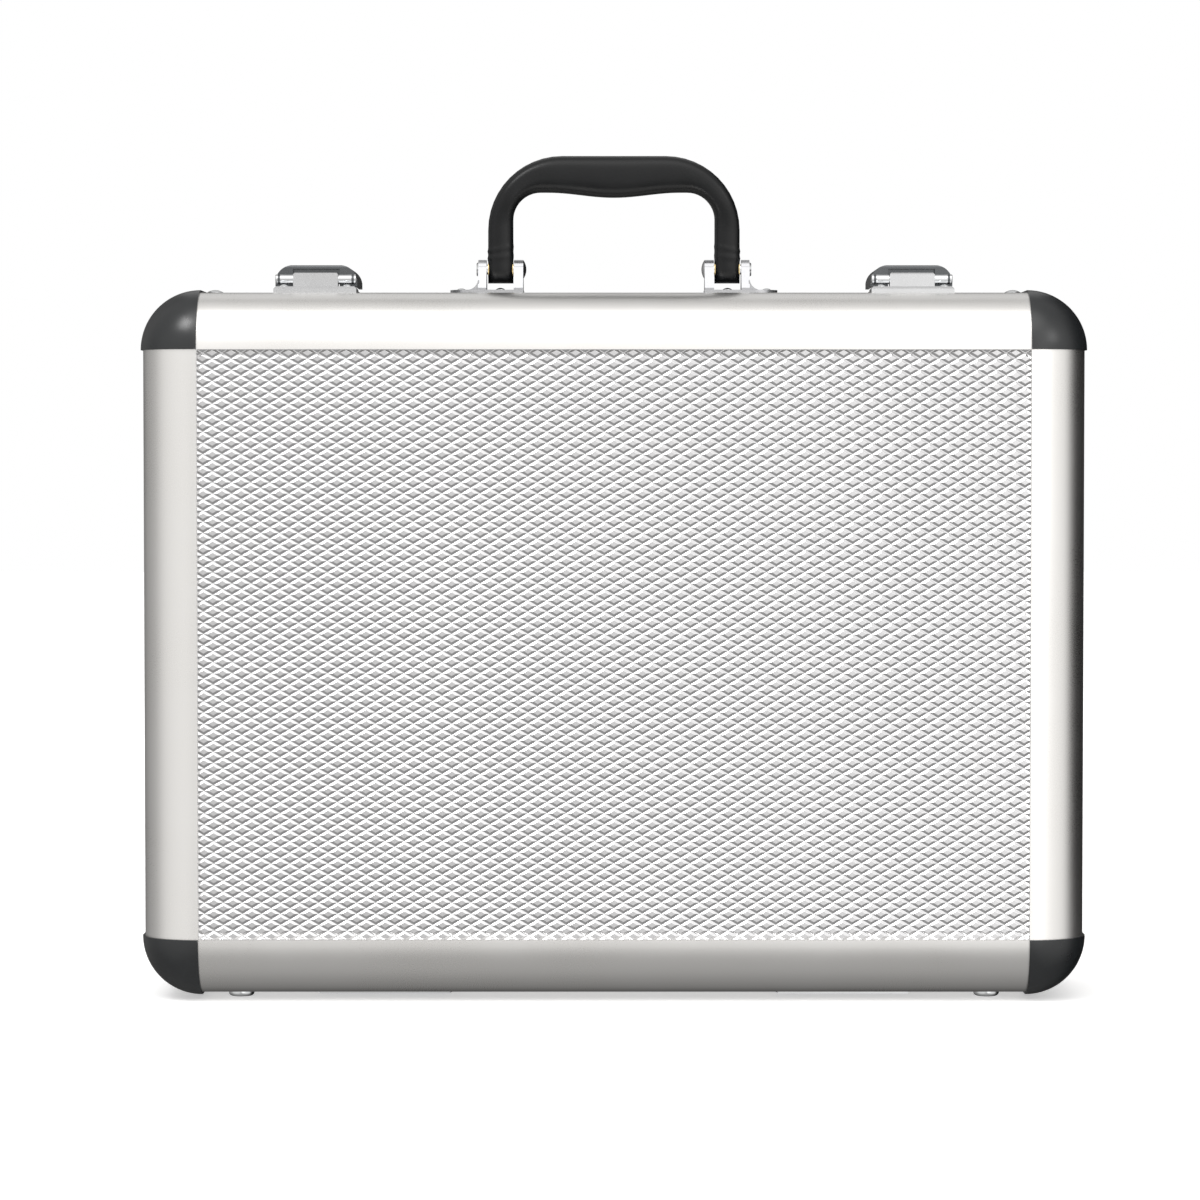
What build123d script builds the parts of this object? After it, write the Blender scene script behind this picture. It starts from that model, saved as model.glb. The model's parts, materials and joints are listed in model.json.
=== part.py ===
from build123d import *
import os

# Aluminum attache case, standing closed on its bottom edge, handle up.
# X to the right, Y from the lid (-Y) to the base (+Y), Z up; millimetres.
# Origin: on the floor under the middle of the closed case.

os.makedirs("parts", exist_ok=True)

# ---- driving dimensions -------------------------------------------------
HX = 228.8              # half width over the aluminium
ZB, ZT = 3.2, 344.1     # underside and top of the aluminium
ZM = (ZB + ZT) / 2
YF = 62.5               # half depth over the aluminium
YS = -12.5              # seam between lid and base
GAP = 0.1               # half of the seam gap
R = 28.0                # quarter-round edge of the rails
WALL = 1.6              # rail wall
PROUD = 1.2             # corner caps stand proud of the rails
CAPW = 2.8              # cap wall below the rail line
CX = HX - R             # corner centres, also the edges of the panel opening
CZT, CZB = ZT - R, ZB + R
LIDD = YS - GAP + YF    # depth of the lid
BASED = YF - YS - GAP   # depth of the base
PT, PIN_ = 3.0, 4.2     # panel board thickness, and how far it enters the groove
RIVX, RIVY_LID, RIVY_BASE = 194.7, -23.5, 21.5
FOOTX, FOOTY_LID, FOOTY_BASE, FOOTD = 182.8, -24.0, 28.0, 12.6
# hinges
HZ = 2.0                # hinge axis height
KN_R, HPIN_R = 1.8, 0.9
HINGE_X, HINGE_L = 112.0, 64.0
# handle
PIVY, PIVZ = 7.5, 356.9
# latches
LX = 145.4
AX_Y, AX_Z = -24.5, 350.9
PLUG_Y = 12.0
# lid stays
STAY = 52.0
SA = (YS + STAY * 0.5, HZ + STAY * 0.8660254)
SB = (YS - STAY * 0.5, HZ + STAY * 0.8660254)
SC = (YS, HZ + 2 * STAY * 0.8660254)

# ---- planes of the four sides, x_dir = depth away from the seam, y_dir = inward
B_TOP = Plane(origin=(CX, YS + GAP, ZT), x_dir=(0, 1, 0), z_dir=(-1, 0, 0))
B_BOT = Plane(origin=(-CX, YS + GAP, ZB), x_dir=(0, 1, 0), z_dir=(1, 0, 0))
B_LEFT = Plane(origin=(-HX, YS + GAP, CZT), x_dir=(0, 1, 0), z_dir=(0, 0, -1))
B_RIGHT = Plane(origin=(HX, YS + GAP, CZB), x_dir=(0, 1, 0), z_dir=(0, 0, 1))
L_TOP = Plane(origin=(-CX, YS - GAP, ZT), x_dir=(0, -1, 0), z_dir=(1, 0, 0))
L_BOT = Plane(origin=(CX, YS - GAP, ZB), x_dir=(0, -1, 0), z_dir=(-1, 0, 0))
L_LEFT = Plane(origin=(-HX, YS - GAP, CZB), x_dir=(0, -1, 0), z_dir=(0, 0, 1))
L_RIGHT = Plane(origin=(HX, YS - GAP, CZT), x_dir=(0, -1, 0), z_dir=(0, 0, -1))
RAIL_H = 2 * CX
RAIL_V = CZT - CZB


def up(x, y, z=ZT):
    return Plane(origin=(x, y, z), x_dir=(1, 0, 0), z_dir=(0, 0, 1))


def down(x, y, z=ZB):
    return Plane(origin=(x, y, z), x_dir=(1, 0, 0), z_dir=(0, 0, -1))


def side(x, y, z):
    return Plane(origin=(x, y, z), x_dir=(0, 1, 0), z_dir=(1 if x > 0 else -1, 0, 0))


# ---- fasteners ----------------------------------------------------------
# one big domed cap rivet, one small fitting rivet, both with the head's
# underside on the local XY plane and the shank going down
with BuildPart() as cap_rivet:
    with BuildSketch(Plane.XZ) as s:
        with BuildLine():
            Polyline((0, -4.2), (2, -4.2), (2, 0), (4.05, 0), (4.05, 0.35))
            ThreePointArc((4.05, 0.35), (2.1195, 1.2803), (0.4, 1.5889))
            Polyline((0.4, 1.5889), (0, 1.5889), (0, -4.2))
        make_face()
    revolve(axis=Axis.Z)

with BuildPart() as small_rivet:
    with BuildSketch(Plane.XZ) as s:
        with BuildLine():
            Polyline((0, -5.2), (1.25, -5.2), (1.25, 0), (2.2, 0), (2.2, 0.25))
            ThreePointArc((2.2, 0.25), (1.1624, 0.8073), (0.3, 0.9875))
            Polyline((0.3, 0.9875), (0, 0.9875), (0, -5.2))
        make_face()
    revolve(axis=Axis.Z)

# flush rivet for the sides and the underside
with BuildPart() as flush_rivet:
    with BuildSketch(Plane.XZ) as s:
        with BuildLine():
            Polyline((0, -4.9), (1.5, -4.9), (1.5, -1.3), (2.8, -0.02), (0, -0.02), (0, -4.9))
        make_face()
    revolve(axis=Axis.Z)

# longer one that also holds a stay plate
with BuildPart() as stay_rivet:
    with BuildSketch(Plane.XZ) as s:
        with BuildLine():
            Polyline((0, -6.1), (1.5, -6.1), (1.5, -1.3), (2.8, -0.02), (0, -0.02), (0, -6.1))
        make_face()
    revolve(axis=Axis.Z)

with BuildPart() as base_cap_rivets:
    with Locations(up(RIVX, RIVY_BASE), up(-RIVX, RIVY_BASE)):
        add(cap_rivet.part)

with BuildPart() as lid_cap_rivets:
    with Locations(up(RIVX, RIVY_LID), up(-RIVX, RIVY_LID)):
        add(cap_rivet.part)

with BuildPart() as base_flush_rivets:
    with Locations(
        down(RIVX, RIVY_BASE), down(-RIVX, RIVY_BASE),
        side(HX, RIVY_BASE, CZT - 6.1), side(-HX, RIVY_BASE, CZT - 6.1),
        side(HX, RIVY_BASE, CZB + 6.1), side(-HX, RIVY_BASE, CZB + 6.1),
    ):
        add(flush_rivet.part)
    with Locations(
        side(HX, SA[0], SA[1] - 7.0), side(-HX, SA[0], SA[1] - 7.0),
        side(HX, SA[0], SA[1] + 7.0), side(-HX, SA[0], SA[1] + 7.0),
    ):
        add(stay_rivet.part)

with BuildPart() as lid_flush_rivets:
    with Locations(
        down(RIVX, RIVY_LID), down(-RIVX, RIVY_LID),
        side(HX, RIVY_LID, CZT - 6.1), side(-HX, RIVY_LID, CZT - 6.1),
        side(HX, RIVY_LID, CZB + 6.1), side(-HX, RIVY_LID, CZB + 6.1),
    ):
        add(flush_rivet.part)
    with Locations(
        side(HX, SB[0] + 12, SB[1] - 4.5), side(-HX, SB[0] + 12, SB[1] - 4.5),
        side(HX, SB[0] + 12, SB[1] + 4.5), side(-HX, SB[0] + 12, SB[1] + 4.5),
    ):
        add(stay_rivet.part)

BR_Z, LP_Z, KP_Z = ZT + 2.5, ZT + 3.1, ZT + 3.1     # tops of bracket, latch and keeper plates
HL_Z = ZB - 1.2                                     # underside of the hinge leaves
base_spots = []
lid_spots = []
for sx in (-1, 1):
    base_spots += [up(sx * 56.0, PIVY - 7.2, BR_Z), up(sx * 56.0, PIVY + 7.2, BR_Z), up(sx * 75.5, PIVY, BR_Z)]
    base_spots += [up(sx * LX + dx, y, KP_Z) for dx in (-15.5, 15.5) for y in (-6.5, 21.0)]
    base_spots += [down(sx * HINGE_X + dx, YS + 12.0, HL_Z) for dx in (-24, 0, 24)]
    lid_spots += [up(sx * LX + dx, y, LP_Z) for dx in (-15.5, 15.5) for y in (-31.2, -18.4)]
    lid_spots += [down(sx * HINGE_X + dx, YS - 12.0, HL_Z) for dx in (-24, 0, 24)]

with BuildPart() as base_fitting_rivets:
    with Locations(*base_spots):
        add(small_rivet.part)

with BuildPart() as lid_fitting_rivets:
    with Locations(*lid_spots):
        add(small_rivet.part)

# outside of the closed aluminium, for shaping the saddles of the feet
with BuildPart() as outside:
    with BuildSketch(Plane.YZ) as s:
        with BuildLine():
            Line((-YF, ZT), (-YF, ZB + R))
            RadiusArc((-YF, ZB + R), (-YF + R, ZB), -R)
            Line((-YF + R, ZB), (YF - R, ZB))
            RadiusArc((YF - R, ZB), (YF, ZB + R), -R)
            Polyline((YF, ZB + R), (YF, ZT), (-YF, ZT))
        make_face()
    extrude(amount=HX, both=True)

# domed feet, each with a saddle that fits the rail and a shank through it
with BuildPart() as base_feet:
    with BuildSketch(Plane.XY):
        with Locations((FOOTX, FOOTY_BASE), (-FOOTX, FOOTY_BASE)):
            Circle(FOOTD / 2)
    extrude(amount=7.0)
    fillet(base_feet.edges().group_by(Axis.Z)[0], 1.9)
    add(outside.part, mode=Mode.SUBTRACT)
    with BuildSketch(Plane.XY.offset(1.0)):
        with Locations((FOOTX, FOOTY_BASE), (-FOOTX, FOOTY_BASE)):
            Circle(2.0)
    extrude(amount=9.0)

with BuildPart() as lid_feet:
    with BuildSketch(Plane.XY):
        with Locations((FOOTX, FOOTY_LID), (-FOOTX, FOOTY_LID)):
            Circle(FOOTD / 2)
    extrude(amount=7.0)
    fillet(lid_feet.edges().group_by(Axis.Z)[0], 1.9)
    add(outside.part, mode=Mode.SUBTRACT)
    with BuildSketch(Plane.XY.offset(1.0)):
        with Locations((FOOTX, FOOTY_LID), (-FOOTX, FOOTY_LID)):
            Circle(2.0)
    extrude(amount=9.0)

# ---- extruded rail sections --------------------------------------------
# local x: depth from the seam, local y: inward from the outer face
with BuildSketch() as base_section:
    with BuildLine():
        Line((0, 0), (BASED - R, 0))
        RadiusArc((BASED - R, 0), (BASED, R), -R)
        Polyline((BASED, R), (BASED - 2.0, R), (BASED - 2.0, R - (26.4**2 - 26.0**2) ** 0.5))
        RadiusArc((BASED - 2.0, R - (26.4**2 - 26.0**2) ** 0.5), (BASED - R, WALL), 26.4)
        Polyline((BASED - R, WALL), (0, WALL), (0, 0))
    make_face()
    with Locations((BASED - 6.7, 12.5)):
        Rectangle(1.5, 15.4, align=(Align.MIN, Align.MIN))      # web behind the panel
    with Locations((0, 1.5)):
        Rectangle(6.0, 1.95, align=(Align.MIN, Align.MIN))      # root of the seam lip
    with Locations((-3.9, 1.95)):
        Rectangle(4.5, 1.5, align=(Align.MIN, Align.MIN))       # seam lip, enters the lid

with BuildSketch() as lid_section:
    with BuildLine():
        Line((0, 0), (LIDD - R, 0))
        RadiusArc((LIDD - R, 0), (LIDD, R), -R)
        Polyline((LIDD, R), (LIDD - 2.0, R), (LIDD - 2.0, R - (26.4**2 - 26.0**2) ** 0.5))
        RadiusArc((LIDD - 2.0, R - (26.4**2 - 26.0**2) ** 0.5), (LIDD - R, WALL), 26.4)
        Polyline((LIDD - R, WALL), (0, WALL), (0, 0))
    make_face()
    with Locations((LIDD - 6.7, 12.5)):
        Rectangle(1.5, 15.4, align=(Align.MIN, Align.MIN))      # web behind the panel

# clearance around the hinge knuckles
with BuildPart() as knuckle_notch:
    with BuildSketch(Plane.YZ):
        with Locations((YS, HZ)):
            Circle(KN_R + 0.5)
    extrude(amount=HINGE_L / 2 + 0.4, both=True)

# ---- base rails ---------------------------------------------------------
with BuildPart() as base_rail_top:
    with BuildSketch(B_TOP):
        add(base_section.sketch)
    extrude(amount=RAIL_H)
    add(base_cap_rivets.part, mode=Mode.SUBTRACT)
    add(base_flush_rivets.part, mode=Mode.SUBTRACT)
    add(base_fitting_rivets.part, mode=Mode.SUBTRACT)

with BuildPart() as base_rail_bottom:
    with BuildSketch(B_BOT):
        add(base_section.sketch)
    extrude(amount=RAIL_H)
    with Locations((HINGE_X, 0, 0), (-HINGE_X, 0, 0)):
        add(knuckle_notch.part, mode=Mode.SUBTRACT)
    add(base_cap_rivets.part, mode=Mode.SUBTRACT)
    add(base_flush_rivets.part, mode=Mode.SUBTRACT)
    add(base_fitting_rivets.part, mode=Mode.SUBTRACT)
    add(base_feet.part, mode=Mode.SUBTRACT)

with BuildPart() as base_rail_left:
    with BuildSketch(B_LEFT):
        add(base_section.sketch)
    extrude(amount=RAIL_V)
    add(base_cap_rivets.part, mode=Mode.SUBTRACT)
    add(base_flush_rivets.part, mode=Mode.SUBTRACT)
    add(base_fitting_rivets.part, mode=Mode.SUBTRACT)

with BuildPart() as base_rail_right:
    with BuildSketch(B_RIGHT):
        add(base_section.sketch)
    extrude(amount=RAIL_V)
    add(base_cap_rivets.part, mode=Mode.SUBTRACT)
    add(base_flush_rivets.part, mode=Mode.SUBTRACT)
    add(base_fitting_rivets.part, mode=Mode.SUBTRACT)

# ---- lid rails ----------------------------------------------------------
with BuildPart() as lid_rail_top:
    with BuildSketch(L_TOP):
        add(lid_section.sketch)
    extrude(amount=RAIL_H)
    add(lid_cap_rivets.part, mode=Mode.SUBTRACT)
    add(lid_flush_rivets.part, mode=Mode.SUBTRACT)
    add(lid_fitting_rivets.part, mode=Mode.SUBTRACT)

with BuildPart() as lid_rail_bottom:
    with BuildSketch(L_BOT):
        add(lid_section.sketch)
    extrude(amount=RAIL_H)
    with Locations((HINGE_X, 0, 0), (-HINGE_X, 0, 0)):
        add(knuckle_notch.part, mode=Mode.SUBTRACT)
    add(lid_cap_rivets.part, mode=Mode.SUBTRACT)
    add(lid_flush_rivets.part, mode=Mode.SUBTRACT)
    add(lid_fitting_rivets.part, mode=Mode.SUBTRACT)
    add(lid_feet.part, mode=Mode.SUBTRACT)

with BuildPart() as lid_rail_left:
    with BuildSketch(L_LEFT):
        add(lid_section.sketch)
    extrude(amount=RAIL_V)
    add(lid_cap_rivets.part, mode=Mode.SUBTRACT)
    add(lid_flush_rivets.part, mode=Mode.SUBTRACT)
    add(lid_fitting_rivets.part, mode=Mode.SUBTRACT)

with BuildPart() as lid_rail_right:
    with BuildSketch(L_RIGHT):
        add(lid_section.sketch)
    extrude(amount=RAIL_V)
    add(lid_cap_rivets.part, mode=Mode.SUBTRACT)
    add(lid_flush_rivets.part, mode=Mode.SUBTRACT)
    add(lid_fitting_rivets.part, mode=Mode.SUBTRACT)

# ---- corner caps: a ball octant, a quarter-round wall to the seam, two tongues
CO, CI = R + PROUD, R + PROUD - CAPW      # outer and inner radius
CAP_PLANE = Plane(origin=(CX, 0, CZT), x_dir=(1, 0, 0), z_dir=(0, 0, 1))
CAP_AXIS = Axis((CX, 0, CZT), (0, -1, 0))
YC = YF - R                                             # ball centre of the base caps
TONGUE = 14.0

with BuildPart() as base_cap_top_right:
    with BuildSketch(CAP_PLANE):
        with BuildLine():
            Line((CI, YS + GAP), (CO, YS + GAP))
            Line((CO, YS + GAP), (CO, YC))
            RadiusArc((CO, YC), (0, YC + CO), -CO)
            Line((0, YC + CO), (0, YC + CI))
            RadiusArc((0, YC + CI), (CI, YC), CI)
            Line((CI, YC), (CI, YS + GAP))
        make_face()
    revolve(axis=CAP_AXIS, revolution_arc=90)
    with Locations((CX - TONGUE, -4.0, ZT - 3.2)):
        Box(TONGUE + 9.0, 37.0, 1.5, align=(Align.MIN, Align.MIN, Align.MIN))
    with Locations((HX - 3.2, -4.0, CZT - TONGUE)):
        Box(1.5, 37.0, TONGUE + 9.0, align=(Align.MIN, Align.MIN, Align.MIN))
    add(base_cap_rivets.part, mode=Mode.SUBTRACT)
    add(base_flush_rivets.part, mode=Mode.SUBTRACT)

with BuildPart() as base_cap_top_left:
    mirror(base_cap_top_right.part, about=Plane.YZ)

with BuildPart() as base_cap_bottom_right:
    mirror(base_cap_top_right.part, about=Plane.XY.offset(ZM))
    add(base_flush_rivets.part, mode=Mode.SUBTRACT)

with BuildPart() as base_cap_bottom_left:
    mirror(base_cap_bottom_right.part, about=Plane.YZ)

with BuildPart() as lid_cap_top_right:
    with BuildSketch(CAP_PLANE):
        with BuildLine():
            Line((CI, YS - GAP), (CO, YS - GAP))
            Line((CO, YS - GAP), (CO, -YC))
            RadiusArc((CO, -YC), (0, -YC - CO), CO)
            Line((0, -YC - CO), (0, -YC - CI))
            RadiusArc((0, -YC - CI), (CI, -YC), -CI)
            Line((CI, -YC), (CI, YS - GAP))
        make_face()
    revolve(axis=CAP_AXIS, revolution_arc=90)
    with Locations((CX - TONGUE, -33.0, ZT - 3.2)):
        Box(TONGUE + 9.0, 15.5, 1.5, align=(Align.MIN, Align.MIN, Align.MIN))
    with Locations((HX - 3.2, -33.0, CZT - TONGUE)):
        Box(1.5, 15.5, TONGUE + 9.0, align=(Align.MIN, Align.MIN, Align.MIN))
    add(lid_cap_rivets.part, mode=Mode.SUBTRACT)
    add(lid_flush_rivets.part, mode=Mode.SUBTRACT)

with BuildPart() as lid_cap_top_left:
    mirror(lid_cap_top_right.part, about=Plane.YZ)

with BuildPart() as lid_cap_bottom_right:
    mirror(lid_cap_top_right.part, about=Plane.XY.offset(ZM))
    add(lid_flush_rivets.part, mode=Mode.SUBTRACT)

with BuildPart() as lid_cap_bottom_left:
    mirror(lid_cap_bottom_right.part, about=Plane.YZ)

# ---- panels, held in the grooves ---------------------------------------
with BuildPart() as base_panel:
    with BuildSketch(Plane.XZ.offset(-(YF - 2.1))):
        with Locations((0, ZM)):
            Rectangle(2 * (CX + PIN_), CZT - CZB + 2 * PIN_)
        chamfer(vertices(), PIN_)
    extrude(amount=PT)

with BuildPart() as lid_panel:
    with BuildSketch(Plane.XZ.offset(YF - 2.1)):
        with Locations((0, ZM)):
            Rectangle(2 * (CX + PIN_), CZT - CZB + 2 * PIN_)
        chamfer(vertices(), PIN_)
    extrude(amount=-PT)

# ---- foam and linings ---------------------------------------------------
with BuildPart() as base_foam_pad:
    with BuildSketch(Plane.XZ.offset(-(YF - 7.2))):
        with Locations((0, ZM)):
            RectangleRounded(2 * 213.0, 2 * 156.0, 12)
    extrude(amount=12.0)

with BuildPart() as lid_foam:
    with BuildSketch(Plane.XZ.offset(YF - 7.2)):
        with Locations((0, ZM)):
            RectangleRounded(2 * 213.0, 2 * 156.0, 12)
    extrude(amount=-24.0)

LIN_O, LIN_I = 3.6, 4.8         # lining, inward from the outer face
with BuildPart() as base_lining:
    with BuildSketch(Plane.XZ.offset(-(YS + 8.0))):
        with Locations((0, ZM)):
            RectangleRounded(2 * (HX - LIN_O), ZT - ZB - 2 * LIN_O, R - LIN_O + 1.5)
            RectangleRounded(2 * (HX - LIN_I), ZT - ZB - 2 * LIN_I, R - LIN_I + 1.5, mode=Mode.SUBTRACT)
    extrude(amount=-38.0)
    add(base_cap_rivets.part, mode=Mode.SUBTRACT)
    add(base_flush_rivets.part, mode=Mode.SUBTRACT)
    add(base_fitting_rivets.part, mode=Mode.SUBTRACT)
    add(base_feet.part, mode=Mode.SUBTRACT)

with BuildPart() as lid_lining:
    with BuildSketch(Plane.XZ.offset(-(YS - 6.0))):
        with Locations((0, ZM)):
            RectangleRounded(2 * (HX - LIN_O), ZT - ZB - 2 * LIN_O, R - LIN_O + 1.5)
            RectangleRounded(2 * (HX - LIN_I), ZT - ZB - 2 * LIN_I, R - LIN_I + 1.5, mode=Mode.SUBTRACT)
    extrude(amount=16.0)
    add(lid_cap_rivets.part, mode=Mode.SUBTRACT)
    add(lid_flush_rivets.part, mode=Mode.SUBTRACT)
    add(lid_fitting_rivets.part, mode=Mode.SUBTRACT)
    add(lid_feet.part, mode=Mode.SUBTRACT)

# ---- hinges -------------------------------------------------------------
# three-knuckle leaves, the middle knuckle on the base
KL = HINGE_L / 3
with BuildPart() as hinge_leaf_base_right:
    with BuildSketch(Plane.YZ.offset(HINGE_X - KL / 2 + 0.15)):
        with Locations((YS, HZ)):
            Circle(KN_R)
        with Locations((YS, HZ)):
            Rectangle(6.0, ZB - HZ, align=(Align.MIN, Align.MIN))
    extrude(amount=KL - 0.3)
    with Locations((HINGE_X, YS + 2.6, HZ)):
        Box(HINGE_L, 18.0, ZB - HZ, align=(Align.CENTER, Align.MIN, Align.MIN))
    with BuildSketch(Plane.YZ.offset(HINGE_X - KL)):
        with Locations((YS, HZ)):
            Circle(HPIN_R)
    extrude(amount=2 * KL, mode=Mode.SUBTRACT)
    add(base_fitting_rivets.part, mode=Mode.SUBTRACT)

with BuildPart() as hinge_leaf_base_left:
    mirror(hinge_leaf_base_right.part, about=Plane.YZ)

with BuildPart() as hinge_leaf_lid_right:
    with BuildSketch(Plane.YZ.offset(HINGE_X - HINGE_L / 2)):
        with Locations((YS, HZ)):
            Circle(KN_R)
        with Locations((YS, HZ)):
            Rectangle(6.0, ZB - HZ, align=(Align.MAX, Align.MIN))
    extrude(amount=KL - 0.15)
    with BuildSketch(Plane.YZ.offset(HINGE_X + KL / 2 + 0.15)):
        with Locations((YS, HZ)):
            Circle(KN_R)
        with Locations((YS, HZ)):
            Rectangle(6.0, ZB - HZ, align=(Align.MAX, Align.MIN))
    extrude(amount=KL - 0.15)
    with Locations((HINGE_X, YS - 2.6, HZ)):
        Box(HINGE_L, 18.0, ZB - HZ, align=(Align.CENTER, Align.MAX, Align.MIN))
    with BuildSketch(Plane.YZ.offset(HINGE_X - HINGE_L)):
        with Locations((YS, HZ)):
            Circle(HPIN_R + 0.06)
    extrude(amount=2 * HINGE_L, mode=Mode.SUBTRACT)
    add(lid_fitting_rivets.part, mode=Mode.SUBTRACT)

with BuildPart() as hinge_leaf_lid_left:
    mirror(hinge_leaf_lid_right.part, about=Plane.YZ)

with BuildPart() as hinge_pins:
    with BuildSketch(Plane.YZ):
        with Locations((YS, HZ)):
            Circle(HPIN_R)
    extrude(amount=HINGE_L / 2 + 0.2, both=True)
    hinge_pin = hinge_pins.part
with BuildPart() as hinge_pins:
    with Locations((HINGE_X, 0, 0), (-HINGE_X, 0, 0)):
        add(hinge_pin)

# ---- carrying handle ----------------------------------------------------
with BuildPart() as handle_bracket_right:
    with BuildSketch(Plane.XY.offset(ZT)):
        with Locations((44.6, PIVY)):
            Rectangle(25.3, 22.0, align=(Align.MIN, Align.CENTER))
        with Locations((69.9, PIVY)):
            Circle(11.0)
    extrude(amount=BR_Z - ZT)
    for x0, t in ((44.8, 4.6), (62.9, 4.1)):
        with BuildSketch(Plane.YZ.offset(x0)):
            with BuildLine():
                Polyline((PIVY - 9.5, BR_Z - 0.5), (PIVY + 9.5, BR_Z - 0.5), (PIVY + 9.5, BR_Z + 1.0),
                         (PIVY + 4.6, PIVZ + 1.0), (PIVY - 4.6, PIVZ + 1.0), (PIVY - 9.5, BR_Z + 1.0),
                         (PIVY - 9.5, BR_Z - 0.5))
            make_face()
            with Locations((PIVY, PIVZ)):
                Circle(4.7)
        extrude(amount=t)
    # concave sweep from the outer ear down to the tab
    with BuildSketch(Plane.XZ.offset(-(PIVY - 8.6))):
        with BuildLine():
            Polyline((66.5, BR_Z + 4.8), (66.5, BR_Z - 0.2), (72.2, BR_Z - 0.2), (72.2, BR_Z))
            RadiusArc((72.2, BR_Z), (67.0, BR_Z + 4.8), 5.6)
            Line((67.0, BR_Z + 4.8), (66.5, BR_Z + 4.8))
        make_face()
    extrude(amount=-17.2)
    with BuildSketch(Plane.YZ.offset(40)):
        with Locations((PIVY, PIVZ)):
            Circle(2.5)
    extrude(amount=40, mode=Mode.SUBTRACT)
    add(base_fitting_rivets.part, mode=Mode.SUBTRACT)

with BuildPart() as handle_bracket_left:
    mirror(handle_bracket_right.part, about=Plane.YZ)

# pivot pins: domed head inside, riveted over outside
with BuildPart() as handle_pin:
    with BuildSketch(Plane(origin=(0, PIVY, PIVZ), x_dir=(1, 0, 0), z_dir=(0, -1, 0))):
        with BuildLine():
            Polyline((43.31, 0), (67.9, 0), (67.9, 3.0), (67.0, 3.6), (67.0, 2.5), (44.8, 2.5), (44.8, 4.65))
            ThreePointArc((44.8, 4.65), (43.684, 2.4427), (43.31, 0.4))
            Polyline((43.31, 0.4), (43.31, 0))
        make_face()
    revolve(axis=Axis((0, PIVY, PIVZ), (1, 0, 0)))
with BuildPart() as handle_pins:
    add(handle_pin.part)
    mirror(handle_pin.part, about=Plane.YZ)

LEG_O, LEG_I = 62.2, 49.7
GRIP_T, GRIP_U = ZT + 68.7, ZT + 50.7
with BuildPart() as handle_grip:
    # front outline of the moulded bow
    with BuildSketch(Plane.XZ.offset(-(PIVY + 9.5))):
        with BuildLine():
            Polyline((LEG_I, PIVZ - 8), (LEG_O, PIVZ - 8), (LEG_O, GRIP_T - 36.0))
            Bezier((LEG_O, GRIP_T - 36.0), (LEG_O, GRIP_T - 16.0), (LEG_O - 11.0, GRIP_T), (LEG_O - 25.0, GRIP_T))
            Line((LEG_O - 25.0, GRIP_T), (-LEG_O + 25.0, GRIP_T))
            Bezier((-LEG_O + 25.0, GRIP_T), (-LEG_O + 11.0, GRIP_T), (-LEG_O, GRIP_T - 16.0), (-LEG_O, GRIP_T - 36.0))
            Polyline((-LEG_O, GRIP_T - 36.0), (-LEG_O, PIVZ - 8), (-LEG_I, PIVZ - 8), (-LEG_I, GRIP_U - 13.4))
            RadiusArc((-LEG_I, GRIP_U - 13.4), (-LEG_I + 13.4, GRIP_U), 13.4)
            ThreePointArc((-LEG_I + 13.4, GRIP_U), (0, GRIP_U - 2.5), (LEG_I - 13.4, GRIP_U))
            RadiusArc((LEG_I - 13.4, GRIP_U), (LEG_I, GRIP_U - 13.4), 13.4)
            Line((LEG_I, GRIP_U - 13.4), (LEG_I, PIVZ - 8))
        make_face()
    extrude(amount=19.0)
    # side outline: round leg ends, thicker grip
    with BuildSketch(Plane.YZ):
        with BuildLine():
            ThreePointArc((PIVY - 6.9, PIVZ), (PIVY, PIVZ - 6.9), (PIVY + 6.9, PIVZ))
            Polyline((PIVY + 6.9, PIVZ), (PIVY + 7.2, GRIP_U - 14), (PIVY + 9.4, GRIP_U + 2), (PIVY + 9.4, GRIP_T - 7))
            ThreePointArc((PIVY + 9.4, GRIP_T - 7), (PIVY, GRIP_T), (PIVY - 9.4, GRIP_T - 7))
            Polyline((PIVY - 9.4, GRIP_T - 7), (PIVY - 9.4, GRIP_U + 2), (PIVY - 7.2, GRIP_U - 14), (PIVY - 6.9, PIVZ))
        make_face()
    extrude(amount=70, both=True, mode=Mode.INTERSECT)
    with BuildSketch(Plane.YZ.offset(-70)):
        with Locations((PIVY, PIVZ)):
            Circle(4.0)
    extrude(amount=140, mode=Mode.SUBTRACT)

with BuildPart() as handle_bushes:
    with BuildSketch(Plane.YZ.offset(LEG_I)):
        with Locations((PIVY, PIVZ)):
            Circle(4.0)
            Circle(2.55, mode=Mode.SUBTRACT)
    extrude(amount=LEG_O - LEG_I)
    with BuildSketch(Plane.YZ.offset(-LEG_O)):
        with Locations((PIVY, PIVZ)):
            Circle(4.0)
            Circle(2.55, mode=Mode.SUBTRACT)
    extrude(amount=LEG_O - LEG_I)

# ---- latches ------------------------------------------------------------
with BuildPart() as latch_plate_right:
    with BuildSketch(Plane.XY.offset(ZT)):
        with Locations((LX, -24.5)):
            Rectangle(40.3, 20.0)
    extrude(amount=LP_Z - ZT)
    chamfer(latch_plate_right.faces().sort_by(Axis.Z)[-1].edges(), 1.1)
    with BuildSketch(Plane.XY.offset(LP_Z - 0.1)):
        with Locations((LX, AX_Y)):
            Rectangle(21.8, 8.4)
    extrude(amount=AX_Z + 3.1 - LP_Z + 0.1)
    chamfer(latch_plate_right.faces().sort_by(Axis.Z)[-1].edges(), 0.7)
    with BuildSketch(Plane.YZ.offset(LX - 30)):
        with Locations((AX_Y, AX_Z)):
            Circle(1.55)
    extrude(amount=60, mode=Mode.SUBTRACT)
    add(lid_fitting_rivets.part, mode=Mode.SUBTRACT)

with BuildPart() as latch_plate_left:
    mirror(latch_plate_right.part, about=Plane.YZ)

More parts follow.
